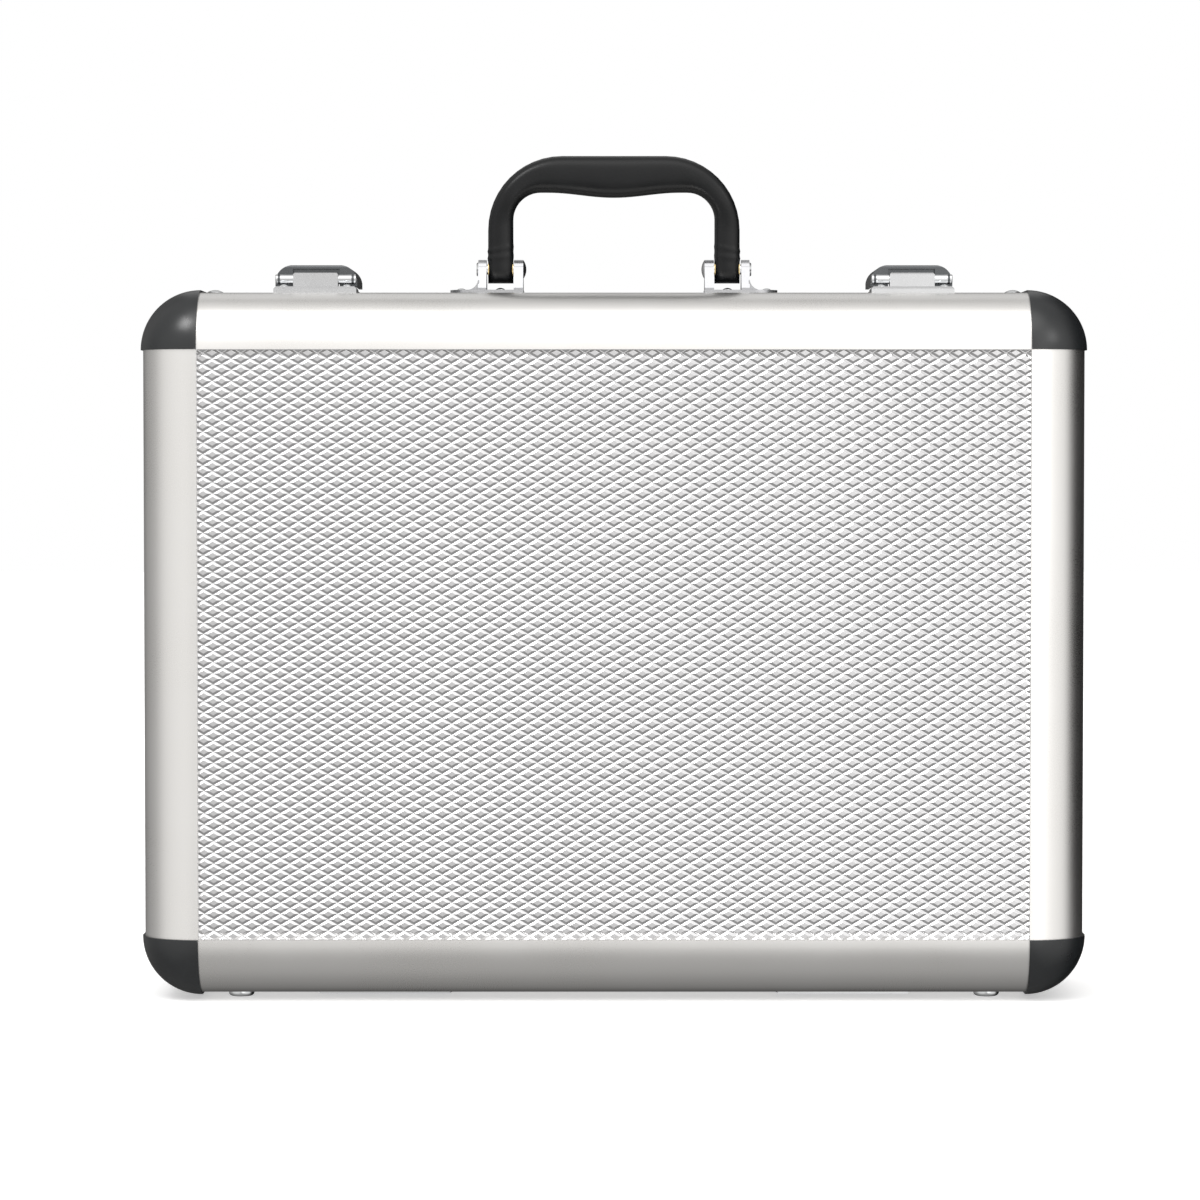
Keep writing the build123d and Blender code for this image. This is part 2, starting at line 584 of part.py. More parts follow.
# crossbar: thin in the block, full barrels beside it, a groove near each end
with BuildPart() as latch_crossbar_right:
    with BuildSketch(Plane(origin=(LX, AX_Y, AX_Z), x_dir=(1, 0, 0), z_dir=(0, -1, 0))):
        with BuildLine():
            Polyline((-19.75, 0), (-19.75, 2.1), (-19.45, 2.4), (-18.6, 2.4), (-18.6, 1.7), (-17.4, 1.7), (-17.4, 2.4),
                     (-11.1, 2.4), (-11.1, 1.5), (11.1, 1.5), (11.1, 2.4), (17.4, 2.4), (17.4, 1.7), (18.6, 1.7),
                     (18.6, 2.4), (19.45, 2.4), (19.75, 2.1), (19.75, 0), (-19.75, 0))
        make_face()
    revolve(axis=Axis((0, AX_Y, AX_Z), (1, 0, 0)))

with BuildPart() as latch_crossbar_left:
    mirror(latch_crossbar_right.part, about=Plane.YZ)

LV_T, LV_B = ZT + 13.8, ZT + 3.5
LV_Y0, LV_Y1 = AX_Y + 2.6, 25.5
with BuildPart() as latch_lever_right:
    with BuildSketch(Plane.XZ.offset(-LV_Y0)):
        with BuildLine():
            Polyline((LX - 20, LV_T - 7.5), (LX - 20, LV_B), (LX + 20, LV_B), (LX + 20, LV_T - 7.5))
            ThreePointArc((LX + 20, LV_T - 7.5), (LX + 17.4, LV_T - 2.3), (LX + 11.0, LV_T))
            Line((LX + 11.0, LV_T), (LX - 11.0, LV_T))
            ThreePointArc((LX - 11.0, LV_T), (LX - 17.4, LV_T - 2.3), (LX - 20, LV_T - 7.5))
        make_face()
    extrude(amount=-(LV_Y1 - LV_Y0))
    with BuildSketch(Plane.YZ.offset(LX - 22)):
        with BuildLine():
            Polyline((LV_Y0, LV_T - 1.2), (LV_Y0, LV_B), (LV_Y1, LV_B), (LV_Y1, LV_T - 5.0))
            RadiusArc((LV_Y1, LV_T - 5.0), (LV_Y1 - 5.0, LV_T), -5.0)
            Line((LV_Y1 - 5.0, LV_T), (LV_Y0 + 1.2, LV_T))
            RadiusArc((LV_Y0 + 1.2, LV_T), (LV_Y0, LV_T - 1.2), -1.2)
        make_face()
    extrude(amount=44, mode=Mode.INTERSECT)
    with BuildSketch(Plane.XZ.offset(-(LV_Y0 + 1.5))):
        with BuildLine():
            Polyline((LX - 18.5, LV_T - 7.7), (LX - 18.5, LV_B - 1), (LX + 18.5, LV_B - 1), (LX + 18.5, LV_T - 7.7))
            ThreePointArc((LX + 18.5, LV_T - 7.7), (LX + 16.2, LV_T - 3.6), (LX + 11.0, LV_T - 1.5))
            Line((LX + 11.0, LV_T - 1.5), (LX - 11.0, LV_T - 1.5))
            ThreePointArc((LX - 11.0, LV_T - 1.5), (LX - 16.2, LV_T - 3.6), (LX - 18.5, LV_T - 7.7))
        make_face()
    extrude(amount=-(LV_Y1 - LV_Y0 - 4.5), mode=Mode.SUBTRACT)
    with Locations((LX, LV_Y1 - 3.2, LV_B - 1)):
        Box(37.0, 3.3, 6.0, align=(Align.CENTER, Align.MIN, Align.MIN), mode=Mode.SUBTRACT)
    # room for the block of the latch plate
    with Locations((LX, AX_Y, AX_Z - 6)):
        Box(22.8, 10.6, 11.2, align=(Align.CENTER, Align.CENTER, Align.MIN), mode=Mode.SUBTRACT)
    # wall that closes the hollow behind the block
    with Locations((LX, AX_Y + 5.35, AX_Z - 1.4)):
        Box(23.4, 1.2, LV_T - AX_Z, align=(Align.CENTER, Align.MIN, Align.MIN))
    # ears that hold the crossbar in its grooves
    for dx in (-18.6, 17.4):
        with BuildSketch(Plane.YZ.offset(LX + dx)):
            with Locations((AX_Y, AX_Z)):
                Circle(2.3)
                Rectangle(3.5, 4.6, align=(Align.MIN, Align.CENTER))
        extrude(amount=1.2)
    with BuildSketch(Plane.YZ.offset(LX - 18.7)):
        with Locations((AX_Y, AX_Z)):
            Circle(1.7)
    extrude(amount=37.4, mode=Mode.SUBTRACT)
    with BuildSketch(Plane.YZ.offset(LX - 20.1)):
        with Locations((AX_Y, AX_Z)):
            Circle(2.45)
    extrude(amount=1.5, mode=Mode.SUBTRACT)
    with BuildSketch(Plane.YZ.offset(LX + 18.6)):
        with Locations((AX_Y, AX_Z)):
            Circle(2.45)
    extrude(amount=1.5, mode=Mode.SUBTRACT)
    # boss that guides the lock plug
    with BuildSketch(Plane.XY.offset(AX_Z + 1.2)):
        with Locations((LX, PLUG_Y)):
            Circle(5.6)
    extrude(amount=LV_T - AX_Z - 1.2 - 0.5)
    with BuildSketch(Plane.XY.offset(LV_B)):
        with Locations((LX, PLUG_Y)):
            Circle(4.08)
    extrude(amount=30, mode=Mode.SUBTRACT)

with BuildPart() as latch_lever_left:
    mirror(latch_lever_right.part, about=Plane.YZ)

CAM_Z = KP_Z + 1.7
with BuildPart() as lock_plug_right:
    with BuildSketch(Plane.XY.offset(AX_Z)):
        with Locations((LX, PLUG_Y)):
            Circle(4.0)
    extrude(amount=LV_T - AX_Z + 0.1)
    with BuildSketch(Plane.XY.offset(LV_T + 0.05)):
        with Locations((LX, PLUG_Y)):
            Circle(5.0)
    extrude(amount=0.8)
    chamfer(lock_plug_right.edges().group_by(Axis.Z)[-1], 0.3)
    with Locations((LX, PLUG_Y, LV_T - 3)):
        Box(1.2, 5.0, 6.0, align=(Align.CENTER, Align.CENTER, Align.MIN), mode=Mode.SUBTRACT)
    with BuildSketch(Plane.XY.offset(CAM_Z + 1.0)):
        with Locations((LX, PLUG_Y)):
            Circle(2.2)
    extrude(amount=AX_Z - CAM_Z - 0.9)
    with BuildSketch(Plane.XY.offset(CAM_Z)):
        with Locations((LX, PLUG_Y)):
            SlotOverall(18.4, 3.0, rotation=90)
    extrude(amount=1.2)

with BuildPart() as lock_plug_left:
    mirror(lock_plug_right.part, about=Plane.YZ)

# keeper plate with two slotted posts that the cam turns into
with BuildPart() as keeper_right:
    with BuildSketch(Plane.XY.offset(ZT)):
        with Locations((LX, 9.5)):
            Rectangle(37.0, 40.0)
    extrude(amount=KP_Z - ZT)
    chamfer(keeper_right.faces().sort_by(Axis.Z)[-1].edges(), 1.0)
    with BuildSketch(Plane.XY.offset(KP_Z - 0.1)):
        with Locations((LX - 8.9, PLUG_Y), (LX + 8.9, PLUG_Y)):
            Rectangle(3.8, 8.0)
    extrude(amount=4.9)
    with Locations((LX, PLUG_Y, CAM_Z - 0.4)):
        Box(19.4, 9.0, 2.0, align=(Align.CENTER, Align.CENTER, Align.MIN), mode=Mode.SUBTRACT)
    add(base_fitting_rivets.part, mode=Mode.SUBTRACT)

with BuildPart() as keeper_left:
    mirror(keeper_right.part, about=Plane.YZ)

# ---- lid stays, right side; the left ones are mirrored -------------------
PX = HX - LIN_I - 0.02           # inner face of the lining: stay plates sit on it
with BuildPart() as stay_plate_base_right:
    with BuildSketch(Plane.YZ.offset(PX - 1.4)):
        with Locations((SA[0], SA[1])):
            SlotOverall(23.0, 10.0, rotation=90)
    extrude(amount=1.4)
    with BuildSketch(Plane.YZ.offset(PX - 4.6)):
        with Locations(SA):
            Circle(2.0)
    extrude(amount=4.0)
    with BuildSketch(Plane.YZ.offset(PX - 5.4)):
        with Locations(SA):
            Circle(3.4)
    extrude(amount=0.8)
    add(base_flush_rivets.part, mode=Mode.SUBTRACT)

with BuildPart() as stay_plate_base_left:
    mirror(stay_plate_base_right.part, about=Plane.YZ)

with BuildPart() as stay_plate_lid_right:
    with BuildSketch(Plane.YZ.offset(PX - 1.4)):
        with Locations((SB[0] + 5.5, SB[1])):
            RectangleRounded(21.0, 16.0, 4.0)
    extrude(amount=1.4)
    with BuildSketch(Plane.YZ.offset(PX - 6.6)):
        with Locations(SB):
            Circle(2.0)
    extrude(amount=6.0)
    with BuildSketch(Plane.YZ.offset(PX - 7.4)):
        with Locations(SB):
            Circle(3.4)
    extrude(amount=0.8)
    add(lid_flush_rivets.part, mode=Mode.SUBTRACT)

with BuildPart() as stay_plate_lid_left:
    mirror(stay_plate_lid_right.part, about=Plane.YZ)

ANG_A = 120.0                    # base link, from its pivot to the elbow, about +X
ANG_B = 60.0
with BuildPart() as stay_link_base_right:
    with BuildSketch(Plane.YZ.offset(PX - 4.1)):
        with Locations(((SA[0] + SC[0]) / 2, (SA[1] + SC[1]) / 2)):
            SlotOverall(STAY + 9.0, 9.0, rotation=ANG_A)
        with Locations(SA):
            Circle(2.05, mode=Mode.SUBTRACT)
    extrude(amount=1.6)
    # elbow pin, fixed in this link
    with BuildSketch(Plane.YZ.offset(PX - 6.6)):
        with Locations(SC):
            Circle(2.0)
    extrude(amount=3.0)
    with BuildSketch(Plane.YZ.offset(PX - 7.4)):
        with Locations(SC):
            Circle(3.4)
    extrude(amount=0.8)

with BuildPart() as stay_link_base_left:
    mirror(stay_link_base_right.part, about=Plane.YZ)

with BuildPart() as stay_link_lid_right:
    with BuildSketch(Plane.YZ.offset(PX - 6.2)):
        with Locations(((SB[0] + SC[0]) / 2, (SB[1] + SC[1]) / 2)):
            SlotOverall(STAY + 9.0, 9.0, rotation=ANG_B)
        with Locations(SB):
            Circle(2.05, mode=Mode.SUBTRACT)
        with Locations(SC):
            Circle(2.25, mode=Mode.SUBTRACT)
    extrude(amount=1.6)

with BuildPart() as stay_link_lid_left:
    mirror(stay_link_lid_right.part, about=Plane.YZ)

# ---- label and write ----------------------------------------------------
pieces = {
    "base_panel": base_panel, "base_rail_top": base_rail_top, "base_rail_bottom": base_rail_bottom,
    "base_rail_left": base_rail_left, "base_rail_right": base_rail_right,
    "base_cap_top_left": base_cap_top_left, "base_cap_top_right": base_cap_top_right,
    "base_cap_bottom_left": base_cap_bottom_left, "base_cap_bottom_right": base_cap_bottom_right,
    "base_cap_rivets": base_cap_rivets, "base_flush_rivets": base_flush_rivets, "base_feet": base_feet, "base_foam_pad": base_foam_pad,
    "base_lining": base_lining, "base_fitting_rivets": base_fitting_rivets,
    "handle_bracket_left": handle_bracket_left, "handle_bracket_right": handle_bracket_right,
    "handle_pins": handle_pins, "keeper_left": keeper_left, "keeper_right": keeper_right,
    "hinge_leaf_base_left": hinge_leaf_base_left, "hinge_leaf_base_right": hinge_leaf_base_right,
    "hinge_pins": hinge_pins, "stay_plate_base_left": stay_plate_base_left,
    "stay_plate_base_right": stay_plate_base_right,
    "lid_panel": lid_panel, "lid_rail_top": lid_rail_top, "lid_rail_bottom": lid_rail_bottom,
    "lid_rail_left": lid_rail_left, "lid_rail_right": lid_rail_right,
    "lid_cap_top_left": lid_cap_top_left, "lid_cap_top_right": lid_cap_top_right,
    "lid_cap_bottom_left": lid_cap_bottom_left, "lid_cap_bottom_right": lid_cap_bottom_right,
    "lid_cap_rivets": lid_cap_rivets, "lid_flush_rivets": lid_flush_rivets, "lid_feet": lid_feet, "lid_foam": lid_foam,
    "lid_lining": lid_lining, "lid_fitting_rivets": lid_fitting_rivets,
    "latch_plate_left": latch_plate_left, "latch_plate_right": latch_plate_right,
    "hinge_leaf_lid_left": hinge_leaf_lid_left, "hinge_leaf_lid_right": hinge_leaf_lid_right,
    "stay_plate_lid_left": stay_plate_lid_left, "stay_plate_lid_right": stay_plate_lid_right,
    "handle_grip": handle_grip, "handle_bushes": handle_bushes,
    "latch_lever_left": latch_lever_left, "latch_lever_right": latch_lever_right,
    "latch_crossbar_left": latch_crossbar_left, "latch_crossbar_right": latch_crossbar_right,
    "lock_plug_left": lock_plug_left, "lock_plug_right": lock_plug_right,
    "stay_link_base_left": stay_link_base_left, "stay_link_base_right": stay_link_base_right,
    "stay_link_lid_left": stay_link_lid_left, "stay_link_lid_right": stay_link_lid_right,
}
for label, piece in pieces.items():
    piece.part.label = label
    export_step(piece.part, "parts/" + label + ".step")
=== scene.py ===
import json
import math
import bmesh
import bpy
import numpy as np
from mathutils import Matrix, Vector


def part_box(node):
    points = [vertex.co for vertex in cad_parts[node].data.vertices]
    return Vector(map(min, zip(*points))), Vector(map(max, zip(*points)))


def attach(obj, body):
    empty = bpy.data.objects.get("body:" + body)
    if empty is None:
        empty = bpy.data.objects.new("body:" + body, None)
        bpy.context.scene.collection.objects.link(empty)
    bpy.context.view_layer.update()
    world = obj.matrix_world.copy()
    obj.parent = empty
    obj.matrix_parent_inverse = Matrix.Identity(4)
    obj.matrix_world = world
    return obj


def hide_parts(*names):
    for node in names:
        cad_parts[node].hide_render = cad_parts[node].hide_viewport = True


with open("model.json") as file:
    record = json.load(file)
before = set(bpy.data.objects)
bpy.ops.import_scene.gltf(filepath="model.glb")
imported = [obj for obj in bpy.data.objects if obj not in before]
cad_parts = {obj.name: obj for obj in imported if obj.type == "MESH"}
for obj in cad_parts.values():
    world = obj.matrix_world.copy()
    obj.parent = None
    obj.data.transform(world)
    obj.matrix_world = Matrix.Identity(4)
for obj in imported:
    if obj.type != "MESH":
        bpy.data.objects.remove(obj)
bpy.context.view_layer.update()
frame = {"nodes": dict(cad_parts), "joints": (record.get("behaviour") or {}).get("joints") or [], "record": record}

NODES = frame["nodes"]


# ---------------------------------------------------------------- materials
def new_mat(name, color, metallic=0.0, rough=0.4, **sockets):
    m = bpy.data.materials.new(name)
    m.use_nodes = True
    b = m.node_tree.nodes["Principled BSDF"]
    b.inputs["Base Color"].default_value = (*color, 1)
    b.inputs["Metallic"].default_value = metallic
    b.inputs["Roughness"].default_value = rough
    for k, v in sockets.items():
        b.inputs[k.replace("_", " ")].default_value = v
    return m, m.node_tree, b


def coords(nt, scale=(1, 1, 1)):
    tc = nt.nodes.new("ShaderNodeTexCoord")
    mp = nt.nodes.new("ShaderNodeMapping")
    mp.inputs["Scale"].default_value = scale
    nt.links.new(tc.outputs["Object"], mp.inputs["Vector"])
    return mp.outputs["Vector"]


def noise(nt, vec, scale, detail=4.0, rough=0.55):
    n = nt.nodes.new("ShaderNodeTexNoise")
    n.inputs["Scale"].default_value = scale
    n.inputs["Detail"].default_value = detail
    n.inputs["Roughness"].default_value = rough
    nt.links.new(vec, n.inputs["Vector"])
    return n.outputs["Fac"]


def ramp(nt, fac, a, b, lo=0.3, hi=0.7):
    r = nt.nodes.new("ShaderNodeMapRange")
    r.inputs["From Min"].default_value = lo
    r.inputs["From Max"].default_value = hi
    r.inputs["To Min"].default_value = a
    r.inputs["To Max"].default_value = b
    nt.links.new(fac, r.inputs["Value"])
    return r.outputs["Result"]


def mix_color(nt, fac, a, b):
    m = nt.nodes.new("ShaderNodeMix")
    m.data_type = "RGBA"
    nt.links.new(fac, m.inputs["Factor"])
    m.inputs["A"].default_value = (*a, 1)
    m.inputs["B"].default_value = (*b, 1)
    return m.outputs["Result"]


def bump(nt, height, strength, distance, b, under=None):
    n = nt.nodes.new("ShaderNodeBump")
    n.inputs["Strength"].default_value = strength
    n.inputs["Distance"].default_value = distance
    nt.links.new(height, n.inputs["Height"])
    if under is not None:
        nt.links.new(under, n.inputs["Normal"])
    nt.links.new(n.outputs["Normal"], b.inputs["Normal"])
    return n.outputs["Normal"]


def edge_wear(nt, lo=0.52, hi=0.6):
    g = nt.nodes.new("ShaderNodeNewGeometry")
    return ramp(nt, g.outputs["Pointiness"], 0.0, 1.0, lo, hi)


def anodised():
    m, nt, b = new_mat("anodised_aluminium", (0.80, 0.79, 0.77), 1.0, 0.3)
    v = coords(nt)
    grain = noise(nt, v, 2600, 2)
    cloud = noise(nt, v, 14, 4)
    nt.links.new(mix_color(nt, cloud, (0.77, 0.755, 0.735), (0.835, 0.83, 0.82)), b.inputs["Base Color"])
    add = nt.nodes.new("ShaderNodeMath"); add.operation = "ADD"
    nt.links.new(ramp(nt, grain, -0.035, 0.035), add.inputs[0])
    nt.links.new(ramp(nt, cloud, 0.27, 0.34), add.inputs[1])
    nt.links.new(add.outputs[0], b.inputs["Roughness"])
    bump(nt, grain, 0.10, 0.00006, b)
    return m


def embossed():
    m, nt, b = new_mat("embossed_sheet", (0.64, 0.64, 0.65), 1.0, 0.2)
    v = coords(nt)
    grain = noise(nt, v, 3200, 2)
    cloud = noise(nt, v, 9, 4)
    nt.links.new(mix_color(nt, cloud, (0.61, 0.61, 0.62), (0.68, 0.68, 0.69)), b.inputs["Base Color"])
    nt.links.new(ramp(nt, grain, 0.17, 0.24), b.inputs["Roughness"])
    bump(nt, grain, 0.12, 0.00005, b)
    return m


def corner_plastic():
    m, nt, b = new_mat("corner_plastic", (0.006, 0.007, 0.008), 0.0, 0.28, IOR=1.55)
    v = coords(nt)
    grain = noise(nt, v, 1500, 3)
    cloud = noise(nt, v, 40, 4)
    nt.links.new(mix_color(nt, cloud, (0.0045, 0.0055, 0.0065), (0.010, 0.0115, 0.013)), b.inputs["Base Color"])
    nt.links.new(ramp(nt, cloud, 0.25, 0.36), b.inputs["Roughness"])
    bump(nt, grain, 0.15, 0.00008, b)
    return m


def grip_plastic():
    m, nt, b = new_mat("grip_plastic", (0.004, 0.0045, 0.005), 0.0, 0.3, IOR=1.34)
    v = coords(nt)
    vor = nt.nodes.new("ShaderNodeTexVoronoi")
    vor.inputs["Scale"].default_value = 900
    nt.links.new(v, vor.inputs["Vector"])
    cloud = noise(nt, v, 60, 4)
    nt.links.new(mix_color(nt, cloud, (0.003, 0.0034, 0.0038), (0.0065, 0.007, 0.0078)), b.inputs["Base Color"])
    nt.links.new(ramp(nt, cloud, 0.28, 0.38), b.inputs["Roughness"])
    bump(nt, vor.outputs["Distance"], 0.22, 0.00012, b)
    return m


def metal(name, color, rough, spread=0.05, scale=1200, stretch=(1, 1, 1), wear=False):
    m, nt, b = new_mat(name, color, 1.0, rough)
    v = coords(nt, stretch)
    grain = noise(nt, v, scale, 3)
    cloud = noise(nt, coords(nt), 90, 4)
    nt.links.new(mix_color(nt, cloud, tuple(c * 0.93 for c in color), tuple(min(1, c * 1.05) for c in color)),
                 b.inputs["Base Color"])
    nt.links.new(ramp(nt, grain, max(0.03, rough - spread), rough + spread), b.inputs["Roughness"])
    bump(nt, grain, 0.08, 0.00004, b)
    return m


def lever_grey():
    m, nt, b = new_mat("lever_grey", (0.10, 0.105, 0.11), 0.85, 0.26)
    v = coords(nt)
    grain = noise(nt, v, 1800, 3)
    cloud = noise(nt, v, 70, 4)
    nt.links.new(mix_color(nt, cloud, (0.085, 0.09, 0.095), (0.13, 0.135, 0.14)), b.inputs["Base Color"])
    nt.links.new(ramp(nt, grain, 0.2, 0.32), b.inputs["Roughness"])
    bump(nt, grain, 0.08, 0.00005, b)
    return m


def foam():
    m, nt, b = new_mat("charcoal_foam", (0.03, 0.031, 0.033), 0.0, 0.95)
    v = coords(nt)
    cells = nt.nodes.new("ShaderNodeTexVoronoi")
    cells.inputs["Scale"].default_value = 1100
    nt.links.new(v, cells.inputs["Vector"])
    cloud = noise(nt, v, 30, 4)
    nt.links.new(mix_color(nt, cloud, (0.022, 0.023, 0.025), (0.045, 0.046, 0.049)), b.inputs["Base Color"])
    bump(nt, cells.outputs["Distance"], 0.7, 0.0004, b)
    b.inputs["Sheen Weight"].default_value = 0.25
    b.inputs["Sheen Roughness"].default_value = 0.5
    return m


def lining():
    m, nt, b = new_mat("lining_cloth", (0.035, 0.036, 0.038), 0.0, 0.9)
    v = coords(nt)
    w1 = nt.nodes.new("ShaderNodeTexWave"); w1.inputs["Scale"].default_value = 420; w1.bands_direction = "Y"
    w2 = nt.nodes.new("ShaderNodeTexWave"); w2.inputs["Scale"].default_value = 420; w2.bands_direction = "DIAGONAL"
    nt.links.new(v, w1.inputs["Vector"]); nt.links.new(v, w2.inputs["Vector"])
    mul = nt.nodes.new("ShaderNodeMath"); mul.operation = "MULTIPLY"
    nt.links.new(w1.outputs["Fac"], mul.inputs[0]); nt.links.new(w2.outputs["Fac"], mul.inputs[1])
    cloud = noise(nt, v, 45, 4)
    nt.links.new(mix_color(nt, cloud, (0.026, 0.027, 0.029), (0.046, 0.047, 0.05)), b.inputs["Base Color"])
    bump(nt, mul.outputs[0], 0.5, 0.0003, b)
    b.inputs["Sheen Weight"].default_value = 0.3
    return m


MATS = {
    "anodised_frame": anodised(), "embossed_panel": embossed(), "corner_plastic": corner_plastic(),
    "grip_plastic": grip_plastic(), "lever_grey": lever_grey(), "dark_foam": foam(), "lining_cloth": lining(),
    "satin_fitting": metal("satin_fitting", (0.59, 0.595, 0.605), 0.24, 0.06, 1500, (1, 8, 1)),
    "bright_fitting": metal("bright_fitting", (0.66, 0.67, 0.68), 0.10, 0.05, 900),
    "brass_bush": metal("brass_bush", (0.72, 0.56, 0.28), 0.25, 0.06, 900),
}

# painted shade: the handle brackets get a darker copy of the satin fitting metal, which dims their too-bright
# reflection
BRACKET_PAINTED_SHADE = metal("bracket_satin_painted_shade", (0.43, 0.435, 0.45), 0.30, 0.05, 1500, (1, 8, 1))
for sub in frame["record"]["subparts"]:
    ob = NODES[sub["node"]]
    mat = BRACKET_PAINTED_SHADE if sub["node"].startswith("handle_bracket") else MATS[sub["material_slot"]]
    if not ob.material_slots:
        ob.data.materials.append(mat)
    for s in ob.material_slots:
        s.material = mat


# ---------------------------------------------------------------- mesh help
def make_obj(name, verts, faces, mat, smooth=False):
    me = bpy.data.meshes.new(name)
    me.from_pydata([tuple(map(float, v)) for v in verts], [], [tuple(int(i) for i in f) for f in faces])
    me.validate()
    bm = bmesh.new(); bm.from_mesh(me)
    bmesh.ops.remove_doubles(bm, verts=bm.verts, dist=1e-6)
    bmesh.ops.recalc_face_normals(bm, faces=bm.faces)
    bm.to_mesh(me); bm.free()
    for p in me.polygons:
        p.use_smooth = smooth
    ob = bpy.data.objects.new(name, me)
    bpy.context.scene.collection.objects.link(ob)
    me.materials.append(mat)
    return ob


# ------------------------------------------------------- embossed panels
R = 0.028
W_R, H_R = 0.0092, 0.00541          # width and height of one diamond


def embossed_panel(node, side):
    """side -1: faces -Y, +1: faces +Y."""
    lo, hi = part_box(node)
    face = lo.y if side < 0 else hi.y
    back = hi.y if side < 0 else lo.y
    inset = 0.0042
    x1 = hi.x - inset - 0.00025
    zc = (lo.z + hi.z) / 2
    z1 = (hi.z - lo.z) / 2 - inset - 0.00025
    ni, nj = int(2 * x1 / W_R) + 3, int(2 * z1 / (H_R / 2)) + 3
    rings = ((1.0, 0.0), (0.93, 0.00003), (0.52, 0.00066), (0.46, 0.00070))
    verts, faces = [], []
    for j in range(nj):
        cz = (j - nj // 2) * H_R / 2
        for i in range(ni):
            cx = (i - ni // 2) * W_R + (W_R / 2 if j % 2 else 0.0)
            if abs(cx) > x1 + W_R / 2 or abs(cz) > z1 + H_R / 2:
                continue
            k = len(verts)
            for s, h in rings:
                for dx, dz in ((W_R / 2, 0), (0, H_R / 2), (-W_R / 2, 0), (0, -H_R / 2)):
                    verts.append((cx + dx * s, h, cz + dz * s))
            for r in range(3):
                for q in range(4):
                    faces.append((k + 4 * r + q, k + 4 * r + (q + 1) % 4, k + 4 * r + 4 + (q + 1) % 4, k + 4 * r + 4 + q))
            faces.append((k + 12, k + 13, k + 14, k + 15))
    me = bpy.data.meshes.new(node + "_diamonds")
    me.from_pydata(verts, [], faces)
    bm = bmesh.new(); bm.from_mesh(me)
    bmesh.ops.remove_doubles(bm, verts=bm.verts, dist=1e-5)
    for n, d in (((1, 0, 0), x1), ((-1, 0, 0), x1), ((0, 0, 1), z1), ((0, 0, -1), z1)):
        geom = bm.verts[:] + bm.edges[:] + bm.faces[:]
        bmesh.ops.bisect_plane(bm, geom=geom, dist=1e-7, plane_co=Vector(n) * d, plane_no=Vector(n), clear_outer=True)
    rim = [e for e in bm.edges if e.is_boundary]
    ext = bmesh.ops.extrude_edge_only(bm, edges=rim)
    for v in [g for g in ext["geom"] if isinstance(g, bmesh.types.BMVert)]:
        v.co.y = -0.0004
    bmesh.ops.contextual_create(bm, geom=[e for e in bm.edges if e.is_boundary])
    for v in bm.verts:
        v.co.y = face + side * (v.co.y + 0.00042)
        v.co.z += zc
    # the board behind the sheet, held in the groove of the rails
    y0, y1 = sorted((face + side * 0.00001, back))
    ch = inset
    ring = [(lo.x + ch, lo.z), (hi.x - ch, lo.z), (hi.x, lo.z + ch), (hi.x, hi.z - ch),
            (hi.x - ch, hi.z), (lo.x + ch, hi.z), (lo.x, hi.z - ch), (lo.x, lo.z + ch)]
    a = [bm.verts.new((x, y0, z)) for x, z in ring]
    b = [bm.verts.new((x, y1, z)) for x, z in ring]
    bm.faces.new(a); bm.faces.new(b[::-1])
    for q in range(8):
        bm.faces.new((a[q], b[q], b[(q + 1) % 8], a[(q + 1) % 8]))
    bmesh.ops.recalc_face_normals(bm, faces=bm.faces)
    bm.to_mesh(me); bm.free()
    ob = bpy.data.objects.new(node + "_sheet", me)
    bpy.context.scene.collection.objects.link(ob)
    me.materials.append(MATS["embossed_panel"])
    return ob


lid_sheet = embossed_panel("lid_panel", -1)
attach(lid_sheet, "lid"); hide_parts("lid_panel")
base_sheet = embossed_panel("base_panel", 1)
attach(base_sheet, "base"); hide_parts("base_panel")


# ------------------------------------------------------------ foam pieces
def foam_block(node, name, side, height, step=0.003):
    """A closed foam block whose face on the side given follows height(x, z), depth below its top."""
    lo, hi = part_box(node)
    top = hi.y if side > 0 else lo.y
    bot = lo.y if side > 0 else hi.y
    m = 0.0015
    nx, nz = int((hi.x - lo.x) / step), int((hi.z - lo.z) / step)
    xs, zs = np.linspace(lo.x + m, hi.x - m, nx), np.linspace(lo.z + m, hi.z - m, nz)
    X, Z = np.meshgrid(xs, zs, indexing="ij")
    edge = np.minimum(np.minimum(X - xs[0], xs[-1] - X), np.minimum(Z - zs[0], zs[-1] - Z))
    soft = np.clip(edge / 0.006, 0, 1)
    D = height(X, Z) + 0.004 * (1 - np.sqrt(1 - (1 - soft) ** 2 + 1e-9))
    rc = 0.010
    dx = np.maximum(np.abs(X) - (xs[-1] - rc), 0)
    zc = (zs[0] + zs[-1]) / 2
    dz = np.maximum(np.abs(Z - zc) - (zs[-1] - zc - rc), 0)
    rr = np.sqrt(dx**2 + dz**2)
    k = np.where(rr > rc, rc / np.maximum(rr, 1e-9), 1.0)
    X = X - np.sign(X) * dx * (1 - k)
    Z = Z - np.sign(Z - zc) * dz * (1 - k)
    verts = [(x, top - side * (d + 0.0003), z) for x, d, z in zip(X.ravel(), D.ravel(), Z.ravel())]
    n = len(verts)
    border = [i * nz for i in range(nx)] + [(nx - 1) * nz + j for j in range(1, nz)] + \
             [i * nz + nz - 1 for i in range(nx - 2, -1, -1)] + [j for j in range(nz - 2, 0, -1)]
    verts += [(verts[q][0], bot, verts[q][2]) for q in border]
    faces = [(i * nz + j, (i + 1) * nz + j, (i + 1) * nz + j + 1, i * nz + j + 1)
             for i in range(nx - 1) for j in range(nz - 1)]
    L = len(border)
    faces += [(border[q], border[(q + 1) % L], n + (q + 1) % L, n + q) for q in range(L)]
    faces.append(tuple(n + q for q in range(L)))
    return make_obj(name, verts, faces, MATS["dark_foam"], smooth=True)


